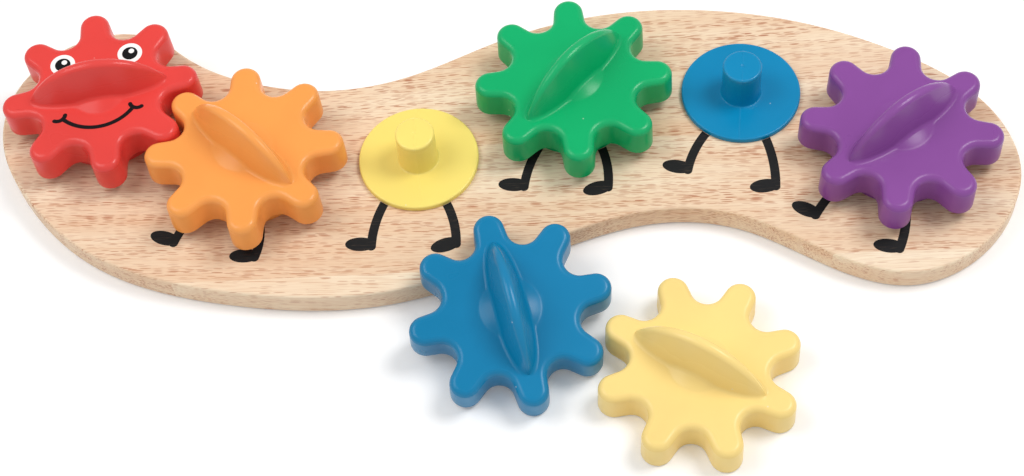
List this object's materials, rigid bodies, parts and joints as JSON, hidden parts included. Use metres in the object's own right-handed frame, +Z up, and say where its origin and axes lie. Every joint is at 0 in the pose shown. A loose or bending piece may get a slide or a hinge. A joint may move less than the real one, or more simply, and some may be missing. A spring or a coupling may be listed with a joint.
{
  "type": "gear board toy",
  "caption": "Wavy wooden board with round hubs and pegs in a row, and finned toothed gears that lift off, stand on the pegs and turn each other.",
  "frame": {"origin": "middle of the board's underside", "axes": "+X along the board's grain and length, from the gear with the face to the far end; +Y to the back; +Z up, square to the board"},
  "size_m": [0.4649, 0.2365, 0.0549],
  "materials": {
    "board_wood": "clear matt lacquer over pale rubberwood",
    "plastic_red": "satin moulded plastic",
    "plastic_orange": "satin moulded plastic",
    "plastic_yellow": "satin moulded plastic",
    "plastic_green": "satin moulded plastic",
    "plastic_blue": "satin moulded plastic",
    "plastic_purple": "satin moulded plastic",
    "ink_black": "printed ink film",
    "ink_white": "printed ink film",
    "screw_steel": "zinc plated"
  },
  "bodies": {
    "board": {"stave_front_left": "board_wood", "stave_front_right": "board_wood", "stave_mid_front": "board_wood", "stave_mid_back": "board_wood", "stave_back_left": "board_wood", "stave_back_right": "board_wood", "hub_red": "plastic_red", "hub_orange": "plastic_orange", "hub_yellow": "plastic_yellow", "hub_green": "plastic_green", "hub_blue": "plastic_blue", "hub_purple": "plastic_purple", "screw_red": "screw_steel", "screw_orange": "screw_steel", "screw_yellow": "screw_steel", "screw_green": "screw_steel", "screw_blue": "screw_steel", "screw_purple": "screw_steel", "washer_red": "screw_steel", "washer_orange": "screw_steel", "washer_yellow": "screw_steel", "washer_green": "screw_steel", "washer_blue": "screw_steel", "washer_purple": "screw_steel", "legs_orange": "ink_black", "legs_yellow": "ink_black", "legs_green": "ink_black", "legs_blue": "ink_black", "legs_purple": "ink_black"},
    "red_gear": {"gear_red": "plastic_red", "eye_whites": "ink_white", "pupils": "ink_black", "eye_glints": "ink_white", "smile": "ink_black"},
    "orange_gear": {"gear_orange": "plastic_orange"},
    "green_gear": {"gear_green": "plastic_green"},
    "purple_gear": {"gear_purple": "plastic_purple"},
    "blue_gear": {"gear_blue": "plastic_blue"},
    "yellow_gear": {"gear_yellow": "plastic_yellow"}
  },
  "joints": [
    {"name": "red_spin", "type": "hinge", "parent": "board", "child": "red_gear", "pos_m": [-0.1818, 0.0265, 0.0194], "axis": [0, 0, 1], "continuous": true},
    {"name": "orange_spin", "type": "hinge", "parent": "board", "child": "orange_gear", "pos_m": [-0.11379, -0.00875, 0.0194], "axis": [0, 0, 1], "continuous": true},
    {"name": "green_spin", "type": "hinge", "parent": "board", "child": "green_gear", "pos_m": [0.03454, 0.02116, 0.0194], "axis": [0, 0, 1], "continuous": true},
    {"name": "purple_spin", "type": "hinge", "parent": "board", "child": "purple_gear", "pos_m": [0.17849, -0.0134, 0.0194], "axis": [0, 0, 1], "continuous": true},
    {"name": "blue_lift", "type": "slide", "parent": "board", "child": "blue_gear", "axis": [0, 0, 1], "range_m": [0, 0.08]},
    {"name": "yellow_lift", "type": "slide", "parent": "board", "child": "yellow_gear", "axis": [0, 0, 1], "range_m": [0, 0.08]}
  ],
  "couplings": [
    {"joint": "orange_spin", "follows": "red_spin", "ratio": -1}
  ]
}
